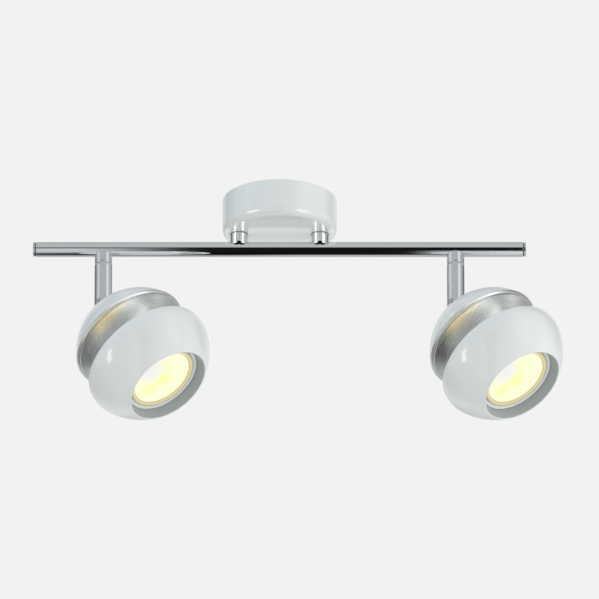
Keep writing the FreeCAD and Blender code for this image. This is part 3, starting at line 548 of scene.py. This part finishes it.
def shell_outline():
    """Shell of two circles, the shoulder's and the face's, with its wall's inner circles, a
    round front lip and a seat at the back."""
    inner_shoulder = SHOULDER_RADIUS - SHELL_WALL
    inner_face = FACE_RADIUS - SHELL_WALL
    inner_lip = math.degrees(math.acos((MOUTH_RADIUS - FACE[1]) / inner_face))
    start = math.degrees(math.asin((SHELL_BACK - SHOULDER[0]) / SHOULDER_RADIUS))
    seat_end = SHELL_BACK - 0.8 + 3.6 + 0.1
    inner_start = math.degrees(math.asin((seat_end - SHOULDER[0]) / inner_shoulder))
    shoulder = arc(SHOULDER, SHOULDER_RADIUS, start, JOIN, 22)
    shoulder[0, 2] = 0.25
    face = arc(FACE, FACE_RADIUS, JOIN, LIP_ANGLE, 26)[1:]
    face[-1, 2] = 0.25
    return outline(
        shoulder, face, (MOUTH_FRONT + 0.1, MOUTH_RADIUS, 0.2),
        arc(FACE, inner_face, inner_lip, JOIN, 18),
        arc(SHOULDER, inner_shoulder, JOIN, inner_start, 16)[1:],
        (seat_end, SEAT_RADIUS, 0.0), (SHELL_BACK, SEAT_RADIUS, 0.2))


def sleeve_outline():
    """Cone from the mouth back to a ledge at the ring, a tube behind it, and a flange that lies
    inside the shell's face."""
    front = MOUTH_FRONT - 0.5
    ledge = RING_FRONT - 0.3
    tail = ledge - 6.4
    inner_face = FACE_RADIUS - SHELL_WALL
    flange = math.sqrt(inner_face ** 2 - (FLANGE_RADIUS - FACE[1]) ** 2) + FACE[0] - 0.1
    bore = SLEEVE_BORE
    bore_skin = SLEEVE_BORE + SLEEVE_WALL
    return outline(
        (front, SLEEVE_OUTER, 0.1), (front, SLEEVE_OUTER - SLEEVE_WALL, 0.15),
        (ledge, bore_skin, 0.15), (ledge, bore, 0.15), (tail, bore, 0.1), (tail, bore_skin, 0.1),
        (ledge - SLEEVE_WALL, bore_skin, 0.0), (ledge - SLEEVE_WALL, SLEEVE_OUTER, 0.2),
        (flange - 0.8, SLEEVE_OUTER, 0.1), (flange - 0.8, FLANGE_RADIUS, 0.1),
        (flange, FLANGE_RADIUS, 0.1), (flange, SLEEVE_OUTER, 0.05))


def ring_outline():
    """Ring with a thin outer lip over the sleeve's ledge."""
    back = RING_FRONT - 2.4
    return outline(
        (back, 25.1, 0.1), (back, 26.9, 0.1), (RING_FRONT - 0.5, 26.9, 0.1),
        (RING_FRONT - 0.2, 27.45, 0.1), (RING_FRONT, 27.3, 0.1), (RING_FRONT, 25.7, 0.5))


def glass_outline():
    """Flat back, a raised round rim, and inside it a lower front that rises slightly to the
    middle. It starts and ends on the axis."""
    return outline(
        (GLASS_BACK, 0, 0), (GLASS_BACK, GLASS_RADIUS, 0.1), (RIM + 46.2, GLASS_RADIUS, 0.5),
        (RIM + 46.2, 22.9, 0.5), (RIM + 45.3, 21.7, 0.4), (RIM + 45.5, 14.0, 3.0),
        (RIM + 45.7, 0, 0))


def heads():
    """Each head's turned pieces, and the glass of its lamp."""
    pieces = (
        ("_waist_turning", "_waist", "_head", "turned_aluminium", waist_outline()),
        ("_shell_skin", "_front_shell", "_head", "white_paint", shell_outline()),
        ("_sleeve_skin", "_inner_sleeve", "_head", "grey_sleeve", sleeve_outline()),
        ("_ring_skin", "_lamp_ring", "_head", "bright_ring", ring_outline()),
        ("_glass_skin", "_lamp_glass", "_lamp", "lamp_glass", glass_outline()))
    for name, side in SIDES.items():
        for piece, node, body, finish, shape in pieces:
            turned(name + piece, name + node, name + body, finish, shape, head_place(side))


bar_and_caps()
posts()
heads()


# Camera

def direction(azimuth, elevation):
    """Unit vector; azimuth 0 is the front and grows to the right, elevation grows upwards."""
    a, e = math.radians(azimuth), math.radians(elevation)
    return Vector((math.sin(a) * math.cos(e), -math.cos(a) * math.cos(e), math.sin(e)))


VIEW_TILT = 23.6
VIEW_WIDTH = 0.4181
VIEW_CENTRE = Vector((0.01396, 0.0, -0.0742))
SENSOR = 36.0
LENS = 1000.0

camera_data = bpy.data.cameras.new("camera")
camera_data.sensor_width = SENSOR
camera_data.lens = LENS
camera_data.clip_end = 100.0
camera = put("camera", camera_data)
camera.location = VIEW_CENTRE + direction(0, -VIEW_TILT) * (VIEW_WIDTH * LENS / SENSOR)
camera.rotation_euler = (-direction(0, -VIEW_TILT)).to_track_quat("-Z", "Y").to_euler()
bpy.context.scene.camera = camera


# Light

WHITE = (1, 1, 1)
SHEEN_DISTANCE = 0.8


def soft_light(name, azimuth, elevation, width, height, radiance, distance, tint, about):
    """Rectangular light that faces a point of the object; width and height are the angles
    that it covers, in degrees. Polished pieces see the surround in its place."""
    data = bpy.data.lights.new(name, "AREA")
    data.shape = "RECTANGLE"
    data.size = 2 * distance * math.tan(math.radians(width / 2))
    data.size_y = 2 * distance * math.tan(math.radians(height / 2))
    data.energy = radiance * math.pi * data.size * data.size_y
    data.color = tint
    light = put(name, data)
    towards = direction(azimuth, elevation)
    light.location = about + towards * distance
    light.rotation_euler = towards.to_track_quat("Z", "Y").to_euler()
    light.visible_camera = False
    light.visible_glossy = False
    return light


def sheen(name, azimuth, elevation, width, height, radiance, about, nodes, tint=WHITE):
    """Light inside the surround that is seen only as a reflection, and only in the pieces that
    stand for the nodes."""
    light = soft_light(name, azimuth, elevation, width, height, radiance, SHEEN_DISTANCE, tint,
                       Vector(about))
    light.visible_glossy = True
    light.visible_diffuse = False
    light.visible_transmission = False
    pieces = bpy.data.collections.new(name + "_pieces")
    for node in nodes:
        pieces.objects.link(SHOWN.get(node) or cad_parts[node])
    light.light_linking.receiver_collection = pieces


# Each row: name, azimuth, elevation, width, height, radiance, distance, tint
SOFT_LIGHTS = (
    ("right_light", 100, 12, 30, 50, 1.28, 4.0, WHITE),
    ("front_right_light", 52, 8, 30, 50, 0.56, 4.0, WHITE),
    ("low_right_light", 70, -42, 40, 40, 1.32, 3.2, (1.0, 1.05, 0.92)),
    ("high_left_light", -60, 45, 40, 40, 1.02, 4.0, (0.68, 1.0, 1.22)))

# Each row: name, azimuth, elevation, width, height, radiance, piece of the head, tint
HEAD_SHEENS = (
    ("_shell_sheen", -57, -17, 10, 26, 4.5, "_front_shell", WHITE),
    ("_glow", 18, -47, 46, 38, 0.98, "_waist", (1.0, 0.70, 0.05)),
    ("_waist_sheen", 47, -26, 24, 26, 0.75, "_waist", WHITE),
    ("_lip_sheen", 5, 58, 80, 34, 0.8, "_waist", WHITE),
    ("_lip_front_sheen", 40, 20, 50, 24, 0.75, "_waist", WHITE))


def lights():
    """Soft lights all round the object, and sheens on the heads, the canopy and the studs."""
    for row in SOFT_LIGHTS:
        soft_light(*row, VIEW_CENTRE)
    for side_name, side in SIDES.items():
        pivot = (side * POST_SPACING / 2, 0, PIVOT_Z - 0.03)
        for name, azimuth, elevation, width, height, radiance, piece, tint in HEAD_SHEENS:
            sheen(side_name + name, azimuth, elevation, width, height, radiance, pivot,
                  [side_name + piece], tint)
    studs = ["left_stud", "right_stud"]
    under = (0, 0, -0.02)
    sheen("canopy_left_sheen", -52, -22, 24, 12, 2.4, under, ["canopy"])
    sheen("canopy_right_sheen", 58, -46, 20, 8, 4.0, under, ["canopy"])
    sheen("canopy_back_sheen", 180, -24, 70, 30, 0.78, under, ["canopy"], (0.96, 0.98, 1.0))
    for name, azimuth in (("stud_left_sheen", -57), ("stud_right_sheen", 48)):
        sheen(name, azimuth, -24, 24, 24, 3.0, under, ["canopy"] + studs)
        sheen(name + "_above", azimuth, 24, 20, 24, 0.95, under, studs)


def studio():
    """World that shows the pale backdrop to the camera, and gives a slightly dimmer fill."""
    world = bpy.data.worlds.new("studio")
    bpy.context.scene.world = world
    w = Finish("studio", world)
    shown = w.ray("Camera") + w.ray("Glossy")
    settings = {"operation": "ADD", "use_clamp": True}
    shown = w.node("ShaderNodeMath", settings, {0: shown, 1: w.ray("Transmission")})
    backdrop = w.node("ShaderNodeBackground", None, {"Color": PALE})
    fill = w.node("ShaderNodeBackground", None, {"Color": colour(0.735, 0.745, 0.735)})
    sky = w.node("ShaderNodeMixShader", None, {0: shown, 1: fill, 2: backdrop})
    w.node("ShaderNodeOutputWorld", None, {"Surface": sky})


bpy.context.scene.view_settings.view_transform = "Standard"
lights()
studio()


# Surround

WALL_RADIUS = 1.1
CAMERA_SPREAD = 1.095  # how much further out a ray from the camera lands after the bar turns it


def eased(value, low, high):
    """0 below low, 1 above high and smooth between, for whole arrays."""
    t = np.clip((value - low) / (high - low), 0, 1)
    return t * t * (3 - 2 * t)


def window(value, low, high, soft):
    """1 between low and high, easing to 0 over soft outside them."""
    return eased(value, low - soft, low) * (1 - eased(value, high, high + soft))


def wall_level(x, lift, place, azimuth, elevation):
    """Brightness of the wall before its black panels."""
    level = 0.50 + 0.03 * eased(elevation, 10, 40) - 0.08 * eased(lift, 70, 110) * (lift > 0)
    # Two dark posts high at the back corners, and a bright back wall between and beside them
    level -= 0.28 * window(np.abs(azimuth), 108, 132, 10) * window(elevation, 18, 60, 6)
    behind = eased(np.abs(azimuth), 118, 165) * window(elevation, -40, 60, 15)
    level += 0.32 * behind * np.maximum(eased(np.abs(x), 0.2, 0.3), eased(lift, 138, 150))
    # A dimmer strip at the left back, and a bright panel high on each side of the front
    level *= 1 - 0.4 * window(azimuth, -135, -100, 10) * window(elevation, -50, 5, 8)
    level += 0.26 * window(azimuth, -74, -60, 6) * window(elevation, 2, 60, 10)
    level += 0.40 * window(azimuth, 42, 60, 8) * window(elevation, 0, 60, 8)
    # Below the front: brighter at the bar's left end, dimmer at its right
    level += 0.13 * window(lift, -58, -16, 12) * (1 - eased(place, -130, -60)) * (place > -400)
    level *= 1 - 0.28 * window(lift, -64, -44, 3) * (place > 0)
    # Under the bar's left half, and along a slanting edge near its left end
    level *= 1 - 0.55 * window(x, -0.5, -0.04, 0.06) * window(lift, -128, -76, 8)
    slant = eased(-62 + 0.6 * (place + 132) - lift, -8, 12)
    level *= 1 - 0.5 * window(place, -165, -120, 12) * slant * (lift > -118)
    return level


def wall_black(lift, place):
    """How black the panels below the front are: wide under the middle of the bar, narrower
    towards its right end, a thin grey strip at its left, and a low strip along the whole bar."""
    middle = eased(place, -150, -55) * (1 - eased(place, 98, 104)) * window(lift, -112, 9, 3)
    right = eased(place, 90, 100) * (1 - eased(place, 175, 200)) * window(lift, -40, 9, 3)
    left = window(place, -200, -60, 20) * (0.72 * window(lift, -5, 9, 3))
    lower = window(place, -190, 190, 20) * (0.85 * window(lift, -112, -100, 4))
    return np.maximum.reduce([middle, right, left, lower])


def surround():
    """Round wall about the bar's axis that only polished pieces see: the point at x and turn t
    is (x, -radius cos t, radius sin t). Its lift is t in degrees, 0 at the front and growing
    upwards, and its place is where on the bar the camera sees it, in millimetres."""
    near = np.arange(-0.3, 0.3001, 0.01)
    far = np.geomspace(0.32, 5.0, 60)
    columns = np.concatenate([-far[::-1], near, far])
    x, turn = np.meshgrid(columns, np.radians(np.arange(0, 360, 1.5)), indexing="ij")
    y = -WALL_RADIUS * np.cos(turn)
    z = WALL_RADIUS * np.sin(turn)
    points = np.stack([x, y, z + BAR_Z], -1)
    azimuth = np.degrees(np.arctan2(x, -y))
    elevation = np.degrees(np.arcsin(z / np.sqrt(x ** 2 + y ** 2 + z ** 2)))
    lift = (np.degrees(turn) + 180) % 360 - 180
    place = x * 1000.0 / CAMERA_SPREAD
    level = wall_level(x, lift, place, azimuth, elevation)
    tone = np.stack([level * 0.975, level, level * 1.01, np.ones_like(level)], -1)
    tone[..., :3] *= (1 - 0.985 * wall_black(lift, place))[..., None]
    numbers = np.arange(x.size).reshape(x.shape)
    mesh = bpy.data.meshes.new("surround")
    mesh.from_pydata(points.reshape(-1, 3), [], quads_between(numbers[:-1], numbers[1:]))
    on_points(mesh, "panel", "FLOAT_COLOR", "color", np.clip(tone, 0, 10))
    f = Finish("surround")
    glow = f.node("ShaderNodeEmission", None, {"Color": f.attribute("panel", "Color")})
    f.node("ShaderNodeOutputMaterial", None, {"Surface": glow})
    mesh.materials.append(f.owner)
    wall = put("surround", mesh)
    wall.visible_camera = False
    wall.visible_diffuse = False
    wall.visible_transmission = False
    wall.visible_volume_scatter = False
    wall.visible_shadow = False


surround()


# Floor

FLOOR_Z = -2.4
FLOOR_RADIUS = 1.2
FLOOR_RINGS = 10
FLOOR_COLUMNS = 96


def floor_disc():
    """Flat disc of rings under the object, small enough to look past it from below. It is pale to
    the camera and in reflections, and still takes a little shade."""
    angle = np.linspace(0, 2 * np.pi, FLOOR_COLUMNS, endpoint=False)
    reach = np.linspace(0.0, FLOOR_RADIUS, FLOOR_RINGS)[:, None]
    height = np.full((FLOOR_RINGS, FLOOR_COLUMNS), FLOOR_Z)
    grid = np.stack([reach * np.cos(angle), reach * np.sin(angle), height], -1)
    numbers = np.arange(height.size).reshape(height.shape)
    mesh = bpy.data.meshes.new("floor")
    facing_up = quads_between(numbers[:-1], numbers[1:])[:, ::-1]
    mesh.from_pydata(grid.reshape(-1, 3), [], facing_up)
    f = Finish("floor")
    factor = f.maths("MAXIMUM", f.ray("Camera"), f.ray("Glossy")) * 0.85
    matt = f.node("ShaderNodeBsdfDiffuse", None, {"Color": colour(0.82, 0.82, 0.82)})
    pale = f.node("ShaderNodeEmission", None, {"Color": PALE})
    mixed = f.node("ShaderNodeMixShader", None, {0: factor, 1: matt, 2: pale})
    f.node("ShaderNodeOutputMaterial", None, {"Surface": mixed})
    mesh.materials.append(f.owner)
    piece = put("floor", mesh)


floor_disc()
